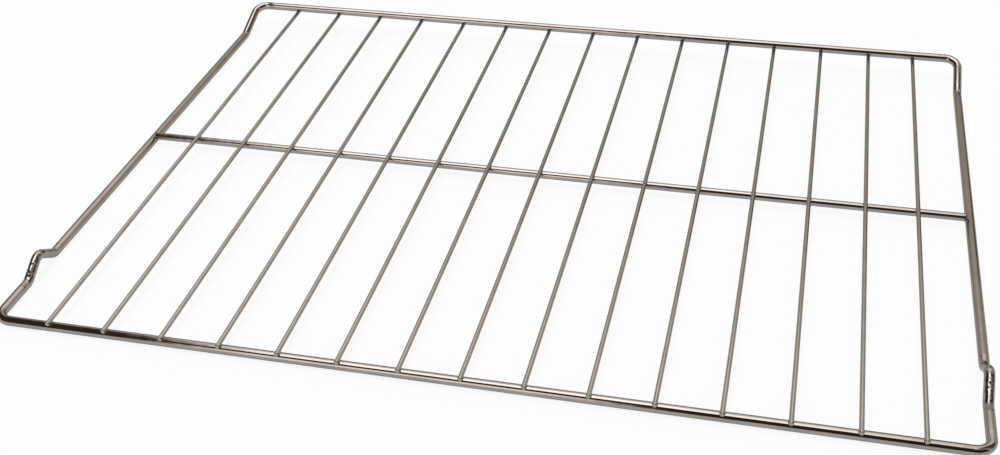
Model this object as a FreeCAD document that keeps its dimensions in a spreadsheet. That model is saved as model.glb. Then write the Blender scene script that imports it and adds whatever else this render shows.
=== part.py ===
import FreeCAD, Part
import os

import Sketcher

# Oven shelf rack of welded, chrome-plated steel wire, in millimetres.
# +X is to the right, +Y to the back and +Z up. The rack lies on Z = 0, centred in X and Y.

SIZES = {
    # Depth over the front and back rails
    "depth": 457.2,
    # Wire diameters
    "frame_wire": 6.35,
    "bar_wire": 5.55,
    "shelf_wire": 3.0,
    # Bends of the frame, as radii at the wire's centre line
    "corner_bend": 10.0,
    "hump_bend": 8.0,
    "rise_bend": 12.0,
    # Stop hump of a side rail, between the sharp corners of the centre line
    "hump_setback": 40.0,
    "hump_length": 34.0,
    "hump_height": 11.0,
    # Rise of the side rails to the back rail
    "rise_run": 35.0,
    "rise_height": 13.0,
    # Shelf wires, spaced from the left rail; the last one halves the space that is left at the right
    "wire_pitch": 38.1,
    "last_gap": 34.925,
    "wire_end_inset": 0.2,
    # Centre bar, set back from the front rail along the shelf wires
    "bar_setback": 230.0,
    "bar_end_gap": 2.0,
    "bar_end_bevel": 1.0,
    # How deep a shelf wire is pressed onto the wire that it is welded to
    "weld_sink": 0.9,
}

SHELF_WIRES = 15

# Values that follow from the sizes, counted from the front rail's centre line.
# A shelf wire runs straight from the top of the front rail to the underside of the back rail.
DERIVED = {
    "half_width": f"Sizes.wire_pitch * {SHELF_WIRES - 1} / 2 + Sizes.last_gap",
    "rail_gap": "Sizes.depth - Sizes.frame_wire",
    "rail_radius": "Sizes.frame_wire / 2",
    "side_start": "Sizes.hump_setback / 2",
    "hump_middle": "Sizes.hump_setback + Sizes.hump_length / 2",
    "hump_end": "Sizes.hump_setback + Sizes.hump_length",
    "rise_start": "rail_gap - Sizes.rise_run",
    "rise_middle": "rail_gap - Sizes.rise_run / 2",
    "half_rise": "Sizes.rise_height / 2",
    "rise_leg": "sqrt(Sizes.rise_run ^ 2 + Sizes.rise_height ^ 2)",
    "half_leg": "rise_leg / 2",
    "rise_angle": "atan(Sizes.rise_height / Sizes.rise_run) / 1deg",
    "wire_lift": "(Sizes.frame_wire + Sizes.shelf_wire) / 2 - Sizes.weld_sink",
    "back_lift": "2 * wire_lift",
    "rail_span": "sqrt(rail_gap ^ 2 + Sizes.rise_height ^ 2)",
    "seat_span": "sqrt(rail_span ^ 2 - back_lift ^ 2)",
    "wire_slope": "(asin(Sizes.rise_height / rail_span) - asin(back_lift / rail_span)) / 1deg",
    "wire_reach": "rail_radius - Sizes.wire_end_inset",
    "bar_lift": "(Sizes.frame_wire - Sizes.bar_wire) / 2",
    "bar_place": "Sizes.bar_setback * cos(wire_slope) - bar_lift * sin(wire_slope)",
    "bar_rise": "Sizes.bar_setback * sin(wire_slope) + bar_lift * cos(wire_slope)",
    "rail_drop": "-bar_rise",
}

doc = FreeCAD.newDocument("oven_shelf_rack")


def fill_sheet():
    """Write the driving sizes to the sheet, one aliased row each."""
    sheet = doc.addObject("Spreadsheet::Sheet", "Sizes")
    for row, (name, value) in enumerate(SIZES.items(), start=1):
        sheet.set(f"A{row}", name)
        sheet.set(f"B{row}", str(value))
        sheet.setAlias(f"B{row}", name)
    doc.recompute()


def fill_derived():
    """Bind the derived values to the sheet."""
    derived = doc.addObject("App::VarSet", "Derived")
    for name, formula in DERIVED.items():
        derived.addProperty("App::PropertyFloat", name)
        derived.setExpression(name, formula)
    doc.recompute()


def value_of(name):
    """The number behind a size or a derived value, or zero for no name."""
    if not name:
        return 0.0
    owner, field = name.split(".")
    return float(getattr(doc.getObject(owner), field))


def moved(base, tilt="0"):
    """Formula of a place, moved by base and tilted about X."""
    return f"placement(vector({base}); rotation(vector(1; 0; 0); {tilt}))"


def new_body(label, place):
    """Start a sub-part at its place."""
    body = doc.addObject("PartDesign::Body", label)
    body.Label = label
    body.setExpression("Placement", place)
    return body


def origin_plane(body, role):
    """One of the body's own origin planes."""
    return next(plane for plane in body.Origin.OriginFeatures if plane.Role == role)


def new_sketch(body, name, role, place=None):
    """A sketch on an origin plane, or moved from it."""
    sketch = body.newObject("Sketcher::SketchObject", f"{body.Name}_{name}")
    sketch.AttachmentSupport = (origin_plane(body, role), [""])
    sketch.MapMode = "FlatFace"
    if place:
        sketch.setExpression("AttachmentOffset", place)
    doc.recompute()
    return sketch


def bind(sketch, name, *constraint):
    """Add a dimension that follows a named value."""
    index = sketch.addConstraint(Sketcher.Constraint(*constraint, value_of(name)))
    sketch.setExpression(f"Constraints[{index}]", name)


def pin(sketch, geometry, position, across, up):
    """Tie a point to two named values, or to an axis where there is no name."""
    for kind, axis, name in (("DistanceX", -2, across), ("DistanceY", -1, up)):
        if name:
            bind(sketch, name, kind, -1, 1, geometry, position)
        else:
            sketch.addConstraint(Sketcher.Constraint("PointOnObject", geometry, position, axis))


def add_circle(sketch, across, up, diameter):
    """A circle at two named values."""
    centre = FreeCAD.Vector(value_of(across), value_of(up), 0)
    circle = sketch.addGeometry(Part.Circle(centre, FreeCAD.Vector(0, 0, 1), value_of(diameter) / 2))
    pin(sketch, circle, 3, across, up)
    bind(sketch, diameter, "Diameter", circle)
    return circle


def bend_points(before, corner, after, radius):
    """Start, middle and end of the bend at a corner."""
    back = (before - corner).normalize()
    ahead = (after - corner).normalize()
    inward = (back + ahead).normalize()
    reach = radius * inward.dot(back) / inward.cross(back).Length
    depth = radius / inward.cross(back).Length - radius
    return corner + back * reach, corner + inward * depth, corner + ahead * reach


def add_bend(sketch, lines, points, across, up, radius):
    """A tangent bend between two lines, at a corner tied to named values."""
    start, middle, end = bend_points(*points, value_of(radius))
    bend = sketch.addGeometry(Part.Arc(start, middle, end))
    turns_left = (points[1] - points[0]).cross(points[2] - points[1]).z > 0
    first, last = (1, 2) if turns_left else (2, 1)
    sketch.addConstraint(Sketcher.Constraint("Tangent", lines[0], 2, bend, first))
    sketch.addConstraint(Sketcher.Constraint("Tangent", lines[1], 1, bend, last))
    corner = sketch.addGeometry(Part.Point(points[1]), True)
    for line in lines:
        sketch.addConstraint(Sketcher.Constraint("PointOnObject", corner, 1, line))
    pin(sketch, corner, 1, across, up)
    bind(sketch, radius, "Radius", bend)


def add_bent_line(sketch, corners):
    """Straight runs with bends between them, through corners given as (across, up, bend)."""
    points = [FreeCAD.Vector(value_of(across), value_of(up), 0) for across, up, _ in corners]
    trimmed = [[points[0], points[0]]]
    for before, corner, after, (_, _, radius) in zip(points, points[1:], points[2:], corners[1:]):
        start, _, end = bend_points(before, corner, after, value_of(radius))
        trimmed.append([start, end])
    trimmed.append([points[-1], points[-1]])
    lines = [sketch.addGeometry(Part.LineSegment(a[1], b[0])) for a, b in zip(trimmed, trimmed[1:])]
    for index, (across, up, radius) in enumerate(corners[1:-1]):
        add_bend(sketch, lines[index:index + 2], points[index:index + 3], across, up, radius)
    pin(sketch, lines[0], 1, *corners[0][:2])
    pin(sketch, lines[-1], 2, *corners[-1][:2])
    doc.recompute()


def sweep(body, name, profile, path):
    """Sweep a profile along all of a path."""
    pipe = body.newObject("PartDesign::AdditivePipe", f"{body.Name}_{name}")
    pipe.Profile = profile
    pipe.Spine = (path, [f"Edge{number}" for number in range(1, len(path.Shape.Edges) + 1)])
    doc.recompute()
    return pipe


def pad(body, name, profile, length, side):
    """Pad a profile by a named length."""
    solid = body.newObject("PartDesign::Pad", f"{body.Name}_{name}")
    solid.Profile = profile
    solid.SideType = side
    solid.Reversed = side == "One side"
    solid.setExpression("Length", length)
    doc.recompute()
    return solid


def bevel_ends(body, base, size):
    """Bevel the rims of a padded wire."""
    rims = [number for number, edge in enumerate(base.Shape.Edges, start=1) if edge.isClosed()]
    bevel = body.newObject("PartDesign::Chamfer", f"{body.Name}_ends")
    bevel.Base = (base, [f"Edge{number}" for number in rims])
    bevel.setExpression("Size", size)
    doc.recompute()


def cut_seats(body, profile):
    """Cut the weld seats, which run across the wire to both sides."""
    seats = body.newObject("PartDesign::Pocket", f"{body.Name}_seats")
    seats.Profile = profile
    seats.SideType = "Symmetric"
    seats.Type = "ThroughAll"
    doc.recompute()
    body.Tip = seats


def make_perimeter_frame():
    """One wire bent into a closed loop, with a stop hump on each side rail and a raised back rail."""
    frame = new_body("perimeter_frame", moved("0; -Derived.rail_gap / 2; Derived.rail_radius"))

    front_path = new_sketch(frame, "front_path", "XY_Plane")
    add_bent_line(front_path, [
        ("", "", ""),
        ("Derived.half_width", "", "Sizes.corner_bend"),
        ("Derived.half_width", "Derived.side_start", ""),
    ])
    front_profile = new_sketch(frame, "front_profile", "YZ_Plane")
    add_circle(front_profile, "", "", "Sizes.frame_wire")
    front = sweep(frame, "front", front_profile, front_path)

    side_path = new_sketch(frame, "side_path", "YZ_Plane", moved("0; 0; Derived.half_width"))
    add_bent_line(side_path, [
        ("Derived.side_start", "", ""),
        ("Sizes.hump_setback", "", "Sizes.hump_bend"),
        ("Derived.hump_middle", "Sizes.hump_height", "Sizes.hump_bend"),
        ("Derived.hump_end", "", "Sizes.hump_bend"),
        ("Derived.rise_start", "", "Sizes.rise_bend"),
        ("Derived.rise_middle", "Derived.half_rise", ""),
    ])
    side_profile = new_sketch(frame, "side_profile", "XZ_Plane", moved("0; 0; -Derived.side_start"))
    add_circle(side_profile, "Derived.half_width", "", "Sizes.frame_wire")
    side = sweep(frame, "side", side_profile, side_path)

    # The back corner bends in the tilted plane of the rise
    rise_plane = moved("0; Derived.rise_start; 0", "Derived.rise_angle")
    back_path = new_sketch(frame, "back_path", "XY_Plane", rise_plane)
    add_bent_line(back_path, [
        ("", "Derived.rise_leg", ""),
        ("Derived.half_width", "Derived.rise_leg", "Sizes.corner_bend"),
        ("Derived.half_width", "Derived.half_leg", ""),
    ])
    back_profile = new_sketch(frame, "back_profile", "YZ_Plane")
    add_circle(back_profile, "Derived.rail_gap", "Sizes.rise_height", "Sizes.frame_wire")
    back = sweep(frame, "back", back_profile, back_path)

    left_half = frame.newObject("PartDesign::Mirrored", "perimeter_frame_left_half")
    left_half.Originals = [front, side, back]
    left_half.MirrorPlane = (origin_plane(frame, "YZ_Plane"), [""])
    frame.Tip = left_half
    doc.recompute()
    return frame


def make_centre_bar():
    """A straight bar under the shelf wires, whose ends are seated on the side rails' inner shoulders."""
    place = moved("0; Derived.bar_place - Derived.rail_gap / 2; Derived.rail_radius + Derived.bar_rise")
    bar = new_body("centre_bar", place)
    profile = new_sketch(bar, "profile", "YZ_Plane")
    add_circle(profile, "", "", "Sizes.bar_wire")
    length = "2 * (Derived.half_width - Sizes.bar_end_gap)"
    bevel_ends(bar, pad(bar, "rod", profile, length, "Symmetric"), "Sizes.bar_end_bevel")

    rails = new_sketch(bar, "rails", "XZ_Plane")
    right = add_circle(rails, "Derived.half_width", "Derived.rail_drop", "Sizes.frame_wire")
    centre = FreeCAD.Vector(-value_of("Derived.half_width"), value_of("Derived.rail_drop"), 0)
    left = rails.addGeometry(Part.Circle(centre, FreeCAD.Vector(0, 0, 1), value_of("Derived.rail_radius")))
    rails.addConstraint(Sketcher.Constraint("Symmetric", left, 3, right, 3, -2))
    rails.addConstraint(Sketcher.Constraint("Equal", left, right))
    cut_seats(bar, rails)
    return bar


def make_shelf_wire(index):
    """A straight wire, seated on the front rail and the centre bar and under the back rail."""
    across = f"Sizes.wire_pitch * {index + 1} - Derived.half_width"
    if index == SHELF_WIRES - 1:
        across = "Derived.half_width - Sizes.last_gap"
    place = moved(f"{across}; -Derived.rail_gap / 2; Derived.rail_radius", "Derived.wire_slope")
    wire = new_body(f"shelf_wire_{index + 1:02d}", place)
    profile = new_sketch(wire, "profile", "XZ_Plane", moved("0; 0; Derived.wire_reach"))
    add_circle(profile, "", "Derived.wire_lift", "Sizes.shelf_wire")
    length = "Derived.seat_span + 2 * Derived.wire_reach"
    pad(wire, "rod", profile, length, "One side")

    rails = new_sketch(wire, "rails", "YZ_Plane")
    add_circle(rails, "", "", "Sizes.frame_wire")
    add_circle(rails, "Sizes.bar_setback", "Derived.bar_lift", "Sizes.bar_wire")
    add_circle(rails, "Derived.seat_span", "Derived.back_lift", "Sizes.frame_wire")
    cut_seats(wire, rails)
    return wire


def check(bodies):
    """Stop if anything failed to build."""
    for item in doc.Objects:
        if "Invalid" in item.State or "Error" in item.State:
            raise RuntimeError(f"{item.Name} did not build: {item.State}")
    for body in bodies:
        shape = body.Shape
        if shape.isNull() or not shape.isValid() or len(shape.Solids) != 1:
            raise RuntimeError(f"{body.Label} is not one sound solid")


def export(bodies):
    """Write each sub-part as a STEP file of its own."""
    os.makedirs("parts", exist_ok=True)
    for body in bodies:
        body.Shape.exportStep(f"parts/{body.Label}.step")


fill_sheet()
fill_derived()
sub_parts = [make_perimeter_frame(), make_centre_bar()]
sub_parts += [make_shelf_wire(index) for index in range(SHELF_WIRES)]
doc.recompute()
check(sub_parts)
export(sub_parts)
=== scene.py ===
import math

import bpy
from mathutils import Matrix, Vector, noise


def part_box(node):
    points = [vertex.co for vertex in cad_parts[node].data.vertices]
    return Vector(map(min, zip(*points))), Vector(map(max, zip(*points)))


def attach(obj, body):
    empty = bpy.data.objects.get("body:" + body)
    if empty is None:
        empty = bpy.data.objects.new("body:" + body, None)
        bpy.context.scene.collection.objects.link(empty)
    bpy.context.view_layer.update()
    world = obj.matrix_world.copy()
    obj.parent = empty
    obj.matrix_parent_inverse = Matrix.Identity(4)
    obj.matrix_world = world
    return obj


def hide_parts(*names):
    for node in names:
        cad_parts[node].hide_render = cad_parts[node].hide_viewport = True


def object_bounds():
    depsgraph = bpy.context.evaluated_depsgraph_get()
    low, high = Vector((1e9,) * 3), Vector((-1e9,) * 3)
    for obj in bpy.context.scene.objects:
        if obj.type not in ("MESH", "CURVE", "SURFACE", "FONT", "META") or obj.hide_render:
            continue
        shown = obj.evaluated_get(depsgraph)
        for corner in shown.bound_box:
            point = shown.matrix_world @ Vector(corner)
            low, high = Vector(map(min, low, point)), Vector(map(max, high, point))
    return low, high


# The looks of an oven shelf rack of welded, chrome-plated steel wire, in metres.

# Bends of the perimeter frame, which the nodes' boxes don't give
RAIL_RADIUS = 0.003175
CORNER_BEND = 0.010
HUMP_BEND = 0.008
HUMP_SETBACK = 0.040
HUMP_LENGTH = 0.034
HUMP_HEIGHT = 0.011
RISE_BEND = 0.012
RISE_RUN = 0.035
BEND_STEP = math.radians(5)
LEAST_BEND_STEPS = 4

# Places of the right corners in the frame's run of corners
FRONT_CORNER = 0
BACK_CORNER = 5

# Dents from bending: their strength, the length they fade over, and the least run that they fade on
HUMP_DENTS = 1.0
BEND_DENTS = 0.3
DENT_FADE = 0.006
FADING_RUN = 3 * DENT_FADE

# Roundness of the wires and of their ends, with a ring behind each end, counted in tip radii
AROUND = 40
TIP_STEPS = 5
TIP_HOLD = 2
WIRE_TIP = 0.0006
BAR_TIP = 0.0017

# Weld beads around the joints, with the length of their lumps in bead radii
WIRE_BEAD = 0.00042
BAR_END_BEAD = 0.00065
BEAD_STEPS = 56
BEAD_AROUND = 10
BEAD_WOBBLE = 0.35
BEAD_LUMP = 3

# Plating of each kind of wire, as its tint, its least and its greatest roughness
PLATING = {
    "frame": ((0.31, 0.288, 0.27), 0.04, 0.09),
    "bar": ((0.31, 0.295, 0.28), 0.04, 0.09),
    "wire": ((0.33, 0.322, 0.311), 0.03, 0.08),
    "weld": ((0.34, 0.32, 0.295), 0.16, 0.3),
}
EDGE_TINT = (0.55, 0.52, 0.5)

# Clouds in the plating's tone and speckle in its roughness, as noise over millimetres of wire
CLOUDS = {"Scale": 0.05, "Detail": 4.0}
CLOUD_RANGE = (0.3, 0.7)
CLOUD_TONES = (0.88, 1.06)
SPECKLE = {"Scale": 0.6, "Detail": 5.0}
SPECKLE_RANGE = (0.3, 0.75)

# Unevenness of the surface, as noise over millimetres of wire and the bump that it makes
WAVES = {"Scale": 0.09, "Detail": 1.0}
WAVE_BUMP = {"Strength": 0.6, "Distance": 0.00012}
PITS = {"Scale": 0.16, "Detail": 1.5}
PIT_BUMP = {"Strength": 1.0, "Distance": 0.0011}
LINES = {"Scale": 1.0, "Detail": 3.0}
LINE_BUMP = {"Strength": 0.25, "Distance": 0.00002}
LINE_STRETCH = (5.0, 0.04, 1.0)

# Sky, as a base colour and soft patches, each with the edges (axis, outside, inside) of its directions
SKY_BASE = (0.78, 0.69, 0.60)
SKY_PATCHES = [
    # Pale wall at the back
    ((1.75, 1.59, 1.42), [("Y", 0.3, 0.6), ("Z", 0.50, 0.74)]),
    # Cooler end of that wall at the left
    ((1.5, 1.5, 1.47), [("X", -0.12, -0.3), ("Y", 0.3, 0.6), ("Z", 0.46, 0.74)]),
    # Shaded end of that wall at the right
    ((0.75, 0.64, 0.54), [("X", 0.04, 0.16), ("Y", 0.74, 0.82), ("Z", 0.48, 0.56)]),
    # Dark strip low at the back
    ((0.12, 0.10, 0.085), [("X", 0.0, 0.16), ("X", 0.56, 0.42), ("Y", 0.86, 0.93), ("Z", 0.64, 0.46)]),
    # Dim corner at the right, at the back and at the front
    ((0.1, 0.08, 0.065), [("X", 0.40, 0.50), ("Y", 0.79, 0.83), ("Z", 0.0, 0.06)]),
    ((0.15, 0.12, 0.10), [("X", 0.15, 0.4), ("Y", -0.3, 0.1), ("Y", 0.62, 0.45), ("Z", 0.03, 0.10)]),
    # Dark room behind the camera
    ((0.055, 0.038, 0.028), [("Y", -0.25, -0.42), ("Z", 0.03, 0.10)]),
    # Window in that room
    ((2.3, 2.18, 2.1), [("X", -0.45, -0.37), ("X", -0.07, -0.16), ("Y", -0.5, -0.6), ("Z", 0.68, 0.36)]),
    # Dark wall at the left
    ((0.07, 0.052, 0.04), [("X", -0.39, -0.46), ("Y", 0.7, 0.45), ("Z", 0.16, 0.30)]),
    # Shaded end of that wall at the back
    ((0.25, 0.215, 0.185), [("X", -0.47, -0.53), ("Y", 0.74, 0.62), ("Y", 0.45, 0.55),
                            ("Z", 0.16, 0.30)]),
    # Soft light overhead
    ((3.5, 3.4, 3.35), [("X", -0.42, -0.335), ("X", 0.40, -0.12), ("Y", -0.38, -0.26), ("Y", 0.46, 0.34),
                        ("Z", 0.3, 0.5)]),
]

# Sockets of a node that mixes colours
MIX_SHARE = 0
MIX_FIRST = 6
MIX_SECOND = 7
MIX_RESULT = 2

# Floor: its reach, its gap under the rack and its colour
FLOOR_REACH = 8.0
FLOOR_GAP = 0.0002
FLOOR_COLOUR = (0.86, 0.89, 0.97)

# White that the eye and the metal see on the floor, and its share there
FLOOR_WHITE = 1.04
FLOOR_GLOW = 0.85

# Camera of the photograph, with its lens and the width of its sensor in millimetres
CAMERA_PLACE = Vector((0.17523, -0.80255, 0.51675))
CAMERA_AZIMUTH = math.radians(14.155)
CAMERA_ELEVATION = math.radians(33.966)
CAMERA_ROLL = math.radians(1.763)
CAMERA_LENS = 48.14
CAMERA_SENSOR = 36.0

MILLIMETRE = 0.001
RIGHT = Vector((1, 0, 0))
BACK = Vector((0, 1, 0))
UP = Vector((0, 0, 1))

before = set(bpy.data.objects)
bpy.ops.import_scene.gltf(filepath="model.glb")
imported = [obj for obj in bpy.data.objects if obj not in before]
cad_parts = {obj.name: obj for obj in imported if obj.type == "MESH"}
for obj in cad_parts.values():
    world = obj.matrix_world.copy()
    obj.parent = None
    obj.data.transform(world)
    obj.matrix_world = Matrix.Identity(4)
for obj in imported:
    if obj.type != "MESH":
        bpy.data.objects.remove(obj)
cad_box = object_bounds()
wires = sorted(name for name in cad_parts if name.startswith("shelf_wire"))


def bent_loop(corners):
    """Places, directions and dents along a closed run of corners of (place, bend radius, dents)."""
    count = len(corners)
    places = [corner[0] for corner in corners]
    ways = [(places[(index + 1) % count] - places[index]).normalized() for index in range(count)]
    turns = [ways[index - 1].angle(ways[index]) for index in range(count)]
    trims = [corner[1] * math.tan(turn / 2) for corner, turn in zip(corners, turns)]
    path = []
    for index, (place, bend, dents) in enumerate(corners):
        before = ways[index - 1]
        after = ways[index]
        inward = (after - before * before.dot(after)).normalized()
        steps = max(LEAST_BEND_STEPS, math.ceil(turns[index] / BEND_STEP))
        for step in range(steps + 1):
            angle = turns[index] * step / steps
            ahead = before * (bend * math.sin(angle) - trims[index])
            aside = inward * bend * (1 - math.cos(angle))
            way = before * math.cos(angle) + inward * math.sin(angle)
            path.append((place + (ahead + aside), way, dents))
        following = (index + 1) % count
        run = (places[following] - place).length - trims[index] - trims[following]
        if run > FADING_RUN:
            start = place + after * trims[index]
            path.append((start + after * DENT_FADE, after, 0.0))
            path.append((start + after * (run - DENT_FADE), after, 0.0))
    return path


def tipped_rings(start, end, radius, tip):
    """Rings of a straight wire whose ends are rounded by the tip radius."""
    way = (end - start).normalized()
    rounding = []
    for step in range(TIP_STEPS + 1):
        angle = math.pi / 2 * step / TIP_STEPS
        rounding.append((tip * (1 - math.cos(angle)), radius - tip + tip * math.sin(angle)))
    rounding.append((TIP_HOLD * tip, radius))
    rings = [(start + way * back, way, size, 0.0) for back, size in rounding]
    rings += [(end - way * back, way, size, 0.0) for back, size in reversed(rounding)]
    return rings


def ring_points(place, way, size, count):
    """Points of a ring across the way, from the underside round."""
    side = way.cross(UP).normalized()
    top = side.cross(way)
    angles = [2 * math.pi * index / count for index in range(count)]
    return [place + (side * math.sin(angle) - top * math.cos(angle)) * size for angle in angles]


def ring_faces(rows, count, closed):
    """Faces of a skin over rows of points, with its ends capped unless it is closed."""
    faces = []
    for row in range(rows if closed else rows - 1):
        here = row * count
        there = (row + 1) % rows * count
        for column in range(count):
            beside = (column + 1) % count
            faces.append((here + column, here + beside, there + beside, there + column))
    if not closed:
        last = (rows - 1) * count
        faces.append(tuple(reversed(range(count))))
        faces.append(tuple(range(last, last + count)))
    return faces


def ring_map(rings, count, closed, radius):
    """Place of each face corner of a skin, in millimetres around and along the wire."""
    rows = len(rings)
    around = [2 * math.pi * radius * column / count / MILLIMETRE for column in range(count + 1)]
    places = []
    low = 0.0
    for row in range(rows if closed else rows - 1):
        high = low + (rings[(row + 1) % rows][0] - rings[row][0]).length / MILLIMETRE
        for left, right in zip(around, around[1:]):
            places += [(left, low), (right, low), (right, high), (left, high)]
        low = high
    if not closed:
        places += [(0.0, 0.0)] * count + [(0.0, low)] * count
    return places


def skin(name, rings, count, closed, radius):
    """A smooth skin over rings of (place, direction, radius, dents), with its map and its dents."""
    points = [point for *ring, _ in rings for point in ring_points(*ring, count)]
    mesh = bpy.data.meshes.new(name)
    mesh.from_pydata(points, [], ring_faces(len(rings), count, closed))
    layer = mesh.uv_layers.new(name="wire")
    for corner, place in zip(layer.data, ring_map(rings, count, closed, radius)):
        corner.uv = place
    dents = mesh.attributes.new("dents", "FLOAT", "POINT")
    dents.data.foreach_set("value", [ring[3] for ring in rings for _ in range(count)])
    mesh.polygons.foreach_set("use_smooth", [True] * len(mesh.polygons))
    mesh.update()
    piece = bpy.data.objects.new(name, mesh)
    bpy.context.scene.collection.objects.link(piece)
    return piece


def dress(piece, material, slot, *nodes):
    """Give a piece its material and tie it to the frame."""
    piece.data.materials.append(material)
    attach(piece, "root")
    if nodes:
        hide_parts(*nodes)


def feed(tree, socket, value):
    """Link a socket to another one, or set its value."""
    if isinstance(value, bpy.types.NodeSocket):
        tree.links.new(value, socket)
    else:
        socket.default_value = value


def add_node(tree, kind, **inputs):
    """A shader node with its inputs set or linked."""
    node = tree.nodes.new(kind)
    for name, value in inputs.items():
        feed(tree, node.inputs[name.replace("_", " ")], value)
    return node


def calculate(tree, operation, first, second):
    """The result of an operation on two numbers of a shader."""
    node = tree.nodes.new("ShaderNodeMath")
    node.operation = operation
    feed(tree, node.inputs[0], first)
    feed(tree, node.inputs[1], second)
    return node.outputs["Value"]


def new_material(name):
    """An empty material with its node tree and output."""
    material = bpy.data.materials.new(name)
    material.use_nodes = True
    tree = material.node_tree
    tree.nodes.clear()
    return material, tree, tree.nodes.new("ShaderNodeOutputMaterial")


def add_noise(tree, place, **inputs):
    """Noise over the places of a wire, as a share."""
    return add_node(tree, "ShaderNodeTexNoise", Vector=place, **inputs).outputs["Fac"]


def mottled_tone(tree, place, tint):
    """The plating's colour, cloudy about its tint."""
    tone = add_node(tree, "ShaderNodeValToRGB", Fac=add_noise(tree, place, **CLOUDS))
    for element, position, depth in zip(tone.color_ramp.elements, CLOUD_RANGE, CLOUD_TONES):
        element.position = position
        element.color = (*[part * depth for part in tint], 1)
    return tone.outputs["Color"]


def uneven_surface(tree, place):
    """Normals of a slightly wavy wire with dents at its bends and faint lines from drawing."""
    stretched = add_node(tree, "ShaderNodeMapping", Vector=place, Scale=LINE_STRETCH).outputs["Vector"]
    lines = add_noise(tree, stretched, **LINES)
    worked = tree.nodes.new("ShaderNodeAttribute")
    worked.attribute_name = "dents"
    depth = calculate(tree, "MULTIPLY", add_noise(tree, place, **PITS), worked.outputs["Fac"])
    wavy = add_node(tree, "ShaderNodeBump", Height=add_noise(tree, place, **WAVES), **WAVE_BUMP)
    dented = add_node(tree, "ShaderNodeBump", Height=depth, Normal=wavy.outputs["Normal"], **PIT_BUMP)
    lined = add_node(tree, "ShaderNodeBump", Height=lines, Normal=dented.outputs["Normal"], **LINE_BUMP)
    return lined.outputs["Normal"]


def chrome(name, tint, least, greatest):
    """Chrome plating on drawn wire, uneven in tone, roughness and surface."""
    material, tree, output = new_material(name)
    place = tree.nodes.new("ShaderNodeUVMap").outputs["UV"]
    low, high = SPECKLE_RANGE
    rough = add_node(tree, "ShaderNodeMapRange", Value=add_noise(tree, place, **SPECKLE), From_Min=low,
                     From_Max=high, To_Min=least, To_Max=greatest)
    surface = add_node(tree, "ShaderNodeBsdfPrincipled", Base_Color=mottled_tone(tree, place, tint),
                       Metallic=1.0, Roughness=rough.outputs["Result"], Specular_Tint=(*EDGE_TINT, 1),
                       Normal=uneven_surface(tree, place))
    tree.links.new(surface.outputs["BSDF"], output.inputs["Surface"])
    return material


def frame_corners():
    """Corners of the perimeter frame's centre line, anticlockwise from the front right."""
    low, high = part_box("perimeter_frame")
    side = high.x - RAIL_RADIUS
    front = low.y + RAIL_RADIUS
    back = high.y - RAIL_RADIUS
    level = low.z + RAIL_RADIUS
    raised = high.z - RAIL_RADIUS
    hump = front + HUMP_SETBACK
    right = [
        (Vector((side, front, level)), CORNER_BEND, BEND_DENTS),
        (Vector((side, hump, level)), HUMP_BEND, HUMP_DENTS),
        (Vector((side, hump + HUMP_LENGTH / 2, level + HUMP_HEIGHT)), HUMP_BEND, HUMP_DENTS),
        (Vector((side, hump + HUMP_LENGTH, level)), HUMP_BEND, HUMP_DENTS),
        (Vector((side, back - RISE_RUN, level)), RISE_BEND, BEND_DENTS),
        (Vector((side, back, raised)), CORNER_BEND, BEND_DENTS),
    ]
    left = [(Vector((-place.x, place.y, place.z)), *bend) for place, *bend in reversed(right)]
    return right + left


def bar_line():
    """Ends and radius of the centre bar."""
    low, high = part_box("centre_bar")
    radius = (high.y - low.y) / 2
    middle = (low.y + high.y) / 2
    height = high.z - radius
    return Vector((low.x, middle, height)), Vector((high.x, middle, height)), radius


def wire_line(node):
    """Ends and radius of a shelf wire, which leans up to the back."""
    low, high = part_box(node)
    radius = (high.x - low.x) / 2
    across = (low.x + high.x) / 2
    return Vector((across, low.y, low.z + radius)), Vector((across, high.y, high.z - radius)), radius


def add_frame(material):
    """The perimeter frame, as one closed wire."""
    rings = [(place, way, RAIL_RADIUS, dents) for place, way, dents in bent_loop(frame_corners())]
    piece = skin("frame_wire", rings, AROUND, True, RAIL_RADIUS)
    dress(piece, material, "frame_chrome", "perimeter_frame")


def add_straight(name, line, tip, material, slot, node):
    """A straight wire with rounded ends."""
    piece = skin(name, tipped_rings(*line, tip), AROUND, False, line[2])
    dress(piece, material, slot, node)


def weld_seam(centre, across, along, cross_radius, radius, height, reach):
    """Points round the joint of a wire over or under a round rail, as far as the wire reaches."""
    limit = math.acos(max(-1, (abs(height) - cross_radius) / radius))
    points = []
    for step in range(BEAD_STEPS):
        turn = 2 * math.pi * step / BEAD_STEPS
        angle = limit * math.cos(turn)
        drop = abs(height) - radius * math.cos(angle)
        ahead = math.copysign(math.sqrt(max(0, cross_radius ** 2 - drop ** 2)), math.sin(turn))
        if ahead > reach:
            ahead = reach
            drop = math.sqrt(cross_radius ** 2 - reach ** 2)
        rise = UP * math.copysign(drop, height)
        points.append(centre + across * radius * math.sin(angle) + along * ahead + rise)
    return points


def bead_rings(points, size):
    """Rings of an uneven weld bead along a closed run of points."""
    rings = []
    for index, point in enumerate(points):
        way = (points[(index + 1) % len(points)] - points[index - 1]).normalized()
        uneven = 1 + BEAD_WOBBLE * noise.noise(point / (BEAD_LUMP * size))
        rings.append((point, way, size * uneven, 0.0))
    return rings


def add_welds(name, seams, size, material, slot):
    """Weld beads round a row of joints, as one piece."""
    beads = [skin(name, bead_rings(points, size), BEAD_AROUND, True, size) for points in seams]
    with bpy.context.temp_override(active_object=beads[0], selected_editable_objects=beads):
        bpy.ops.object.join()
    dress(beads[0], material, slot)


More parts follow.
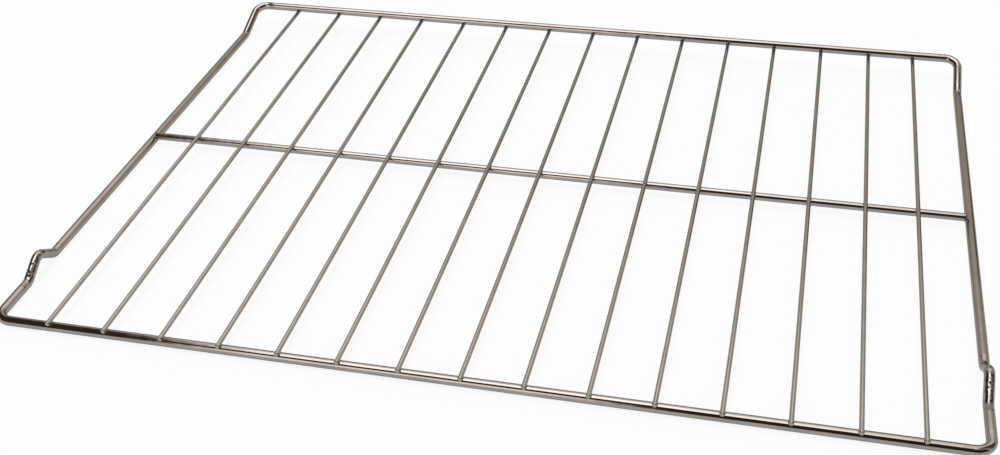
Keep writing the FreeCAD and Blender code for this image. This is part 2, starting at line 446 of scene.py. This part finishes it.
def wire_seams(rail, rail_radius):
    """Joints of the shelf wires with a rail along X, given by a point on its centre line."""
    seams = []
    for wire in wires:
        start, end, radius = wire_line(wire)
        here = start.lerp(end, (rail.y - start.y) / (end.y - start.y))
        centre = Vector((here.x, rail.y, rail.z))
        seams.append(weld_seam(centre, RIGHT, BACK, rail_radius, radius, here.z - rail.z, rail_radius))
    return seams


def bar_seams():
    """Joints of the centre bar's ends with the side rails."""
    start, end, radius = bar_line()
    rail = frame_corners()[FRONT_CORNER][0]
    seams = []
    for tip, outward in ((start, -1), (end, 1)):
        centre = Vector((rail.x * outward, tip.y, rail.z))
        reach = (tip.x - centre.x) * outward + WIRE_BEAD
        height = tip.z - rail.z
        seams.append(weld_seam(centre, BACK, RIGHT * outward, RAIL_RADIUS, radius, height, reach))
    return seams


def add_floor():
    """A pale floor that shows white to the eye and in the metal, and keeps part of the shadow."""
    mesh = bpy.data.meshes.new("floor")
    corners = [(-1, -1), (1, -1), (1, 1), (-1, 1)]
    mesh.from_pydata([(x * FLOOR_REACH, y * FLOOR_REACH, 0) for x, y in corners], [], [(0, 1, 2, 3)])
    floor = bpy.data.objects.new("floor", mesh)
    floor.location.z = cad_box[0].z - FLOOR_GAP
    bpy.context.scene.collection.objects.link(floor)

    material, tree, output = new_material("pale floor")
    matt = add_node(tree, "ShaderNodeBsdfDiffuse", Color=(*FLOOR_COLOUR, 1))
    white = add_node(tree, "ShaderNodeEmission", Color=(1, 1, 1, 1), Strength=FLOOR_WHITE)
    ray = tree.nodes.new("ShaderNodeLightPath").outputs
    shown = calculate(tree, "MAXIMUM", ray["Is Camera Ray"], ray["Is Glossy Ray"])
    shown = calculate(tree, "MAXIMUM", shown, ray["Is Transmission Ray"])
    mixed = add_node(tree, "ShaderNodeMixShader", Fac=calculate(tree, "MULTIPLY", shown, FLOOR_GLOW))
    tree.links.new(matt.outputs["BSDF"], mixed.inputs[1])
    tree.links.new(white.outputs["Emission"], mixed.inputs[2])
    tree.links.new(mixed.outputs["Shader"], output.inputs["Surface"])
    mesh.materials.append(material)


def add_patch(tree, way, colour, patch, edges):
    """Lay a patch over the sky's colour, where the direction passes every edge."""
    share = 1.0
    for axis, outside, inside in edges:
        edge = add_node(tree, "ShaderNodeMapRange", Value=way[axis], From_Min=outside, From_Max=inside)
        edge.interpolation_type = "SMOOTHSTEP"
        share = calculate(tree, "MULTIPLY", share, edge.outputs["Result"])
    mixed = tree.nodes.new("ShaderNodeMix")
    mixed.data_type = "RGBA"
    feed(tree, mixed.inputs[MIX_SHARE], share)
    feed(tree, mixed.inputs[MIX_FIRST], colour)
    feed(tree, mixed.inputs[MIX_SECOND], (*patch, 1))
    return mixed.outputs[MIX_RESULT]


def add_sky():
    """The studio's light, as the colours of the sky."""
    world = bpy.data.worlds.new("studio")
    bpy.context.scene.world = world
    world.use_nodes = True
    tree = world.node_tree
    tree.nodes.clear()
    place = tree.nodes.new("ShaderNodeTexCoord").outputs["Generated"]
    way = add_node(tree, "ShaderNodeSeparateXYZ", Vector=place).outputs
    colour = (*SKY_BASE, 1)
    for patch, edges in SKY_PATCHES:
        colour = add_patch(tree, way, colour, patch, edges)
    light = add_node(tree, "ShaderNodeBackground", Color=colour, Strength=1.0)
    output = tree.nodes.new("ShaderNodeOutputWorld")
    tree.links.new(light.outputs["Background"], output.inputs["Surface"])


def add_camera():
    """The photograph's camera."""
    data = bpy.data.cameras.new("camera")
    data.lens = CAMERA_LENS
    data.sensor_width = CAMERA_SENSOR
    data.sensor_fit = "HORIZONTAL"
    camera = bpy.data.objects.new("camera", data)
    turn = Matrix.Rotation(CAMERA_AZIMUTH, 4, "Z")
    tilt = Matrix.Rotation(math.pi / 2 - CAMERA_ELEVATION, 4, "X")
    roll = Matrix.Rotation(-CAMERA_ROLL, 4, "Z")
    camera.matrix_world = Matrix.Translation(CAMERA_PLACE) @ turn @ tilt @ roll
    bpy.context.scene.collection.objects.link(camera)
    bpy.context.scene.camera = camera


# The plating
plating = {kind: chrome(f"{kind} chrome", *look) for kind, look in PLATING.items()}

# The wires
add_frame(plating["frame"])
add_straight("bar_wire", bar_line(), BAR_TIP, plating["bar"], "bar_chrome", "centre_bar")
for wire in wires:
    name = wire.replace("shelf_", "")
    add_straight(name, wire_line(wire), WIRE_TIP, plating["wire"], "wire_chrome", wire)

# The welds
weld = plating["weld"]
front_corner = frame_corners()[FRONT_CORNER][0]
back_corner = frame_corners()[BACK_CORNER][0]
bar_end, _, bar_radius = bar_line()
add_welds("front_welds", wire_seams(front_corner, RAIL_RADIUS), WIRE_BEAD, weld, "wire_chrome")
add_welds("back_welds", wire_seams(back_corner, RAIL_RADIUS), WIRE_BEAD, weld, "wire_chrome")
add_welds("bar_welds", wire_seams(bar_end, bar_radius), WIRE_BEAD, weld, "bar_chrome")
add_welds("bar_end_welds", bar_seams(), BAR_END_BEAD, weld, "bar_chrome")

# The studio
add_floor()
add_sky()
add_camera()
bpy.context.scene.view_settings.view_transform = "Standard"
